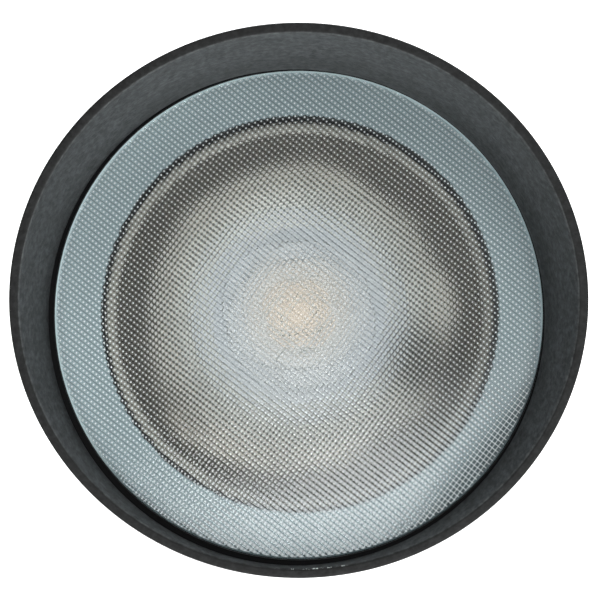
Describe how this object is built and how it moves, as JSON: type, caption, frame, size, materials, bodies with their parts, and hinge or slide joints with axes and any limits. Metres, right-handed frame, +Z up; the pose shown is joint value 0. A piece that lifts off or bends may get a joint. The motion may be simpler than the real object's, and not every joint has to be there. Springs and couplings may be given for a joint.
{
  "type": "landscape flood light",
  "caption": "Landscape flood light with a finned round head, slanted glare hood and prismatic glass, on a tilting, swivelling knuckle with a threaded hollow stem.",
  "frame": {"origin": "on the stem's axis, at the face of the hub that the stem is screwed into, under the rubber washer", "axes": "+Z up the stem, -Z out of the thread into the hub, -Y the way the light faces at rest, +X to its right seen from the front"},
  "size_m": [0.15, 0.154, 0.259],
  "materials": {
    "powder_coat": "fine sand-textured charcoal powder coat on cast aluminium",
    "glass": "clear tempered glass with a fine pressed prism pattern",
    "silicone": "matt black silicone rubber",
    "steel": "stainless steel, plain",
    "pale_ring": "satin pale blue-grey",
    "reflector": "spun and polished, faintly brushed",
    "white_sheet": "white reflective sheet",
    "white_plastic": "white moulded plastic",
    "board": "metal-core board with white solder mask",
    "phosphor": "yellow phosphor in silicone",
    "pad": "soft grey thermal pad",
    "bare_aluminium": "turned aluminium",
    "potting": "black case filled with potting resin",
    "red_insulation": "red silicone wire insulation",
    "black_insulation": "black silicone wire insulation",
    "black_plastic": "black moulded plastic with a membrane",
    "brass": "turned brass, slightly dull"
  },
  "bodies": {
    "stem": {"stem_nipple": "brass", "swivel_oring": "silicone", "locknut": "brass", "stem_gasket": "silicone"},
    "arm": {"arm": "powder_coat", "knuckle_bolt": "steel", "knuckle_washer": "steel", "swivel_screw": "steel"},
    "head": {"housing": "powder_coat", "hood": "powder_coat", "lens": "glass", "lens_gasket": "silicone", "hood_screws": "steel", "reflector_ring": "pale_ring", "reflector_bowl": "reflector", "reflector_sheet": "white_sheet", "cob_holder": "white_plastic", "holder_screws": "steel", "led_board": "board", "led_emitter": "phosphor", "thermal_pad": "pad", "spreader_plate": "bare_aluminium", "plate_screws": "steel", "driver_module": "potting", "driver_screws": "steel", "lead_red": "red_insulation", "lead_black": "black_insulation", "lead_grommets": "silicone", "wire_seal": "silicone", "vent_plug": "black_plastic", "knuckle_oring": "silicone"}
  },
  "joints": [
    {"name": "swivel", "type": "hinge", "parent": "stem", "child": "arm", "pos_m": [0, 0, 0.02], "axis": [0, 0, 1], "range_deg": [-170, 170]},
    {"name": "tilt", "type": "hinge", "parent": "arm", "child": "head", "pos_m": [0, 0, 0.074], "axis": [-1, 0, 0], "range_deg": [-45, 135]}
  ]
}
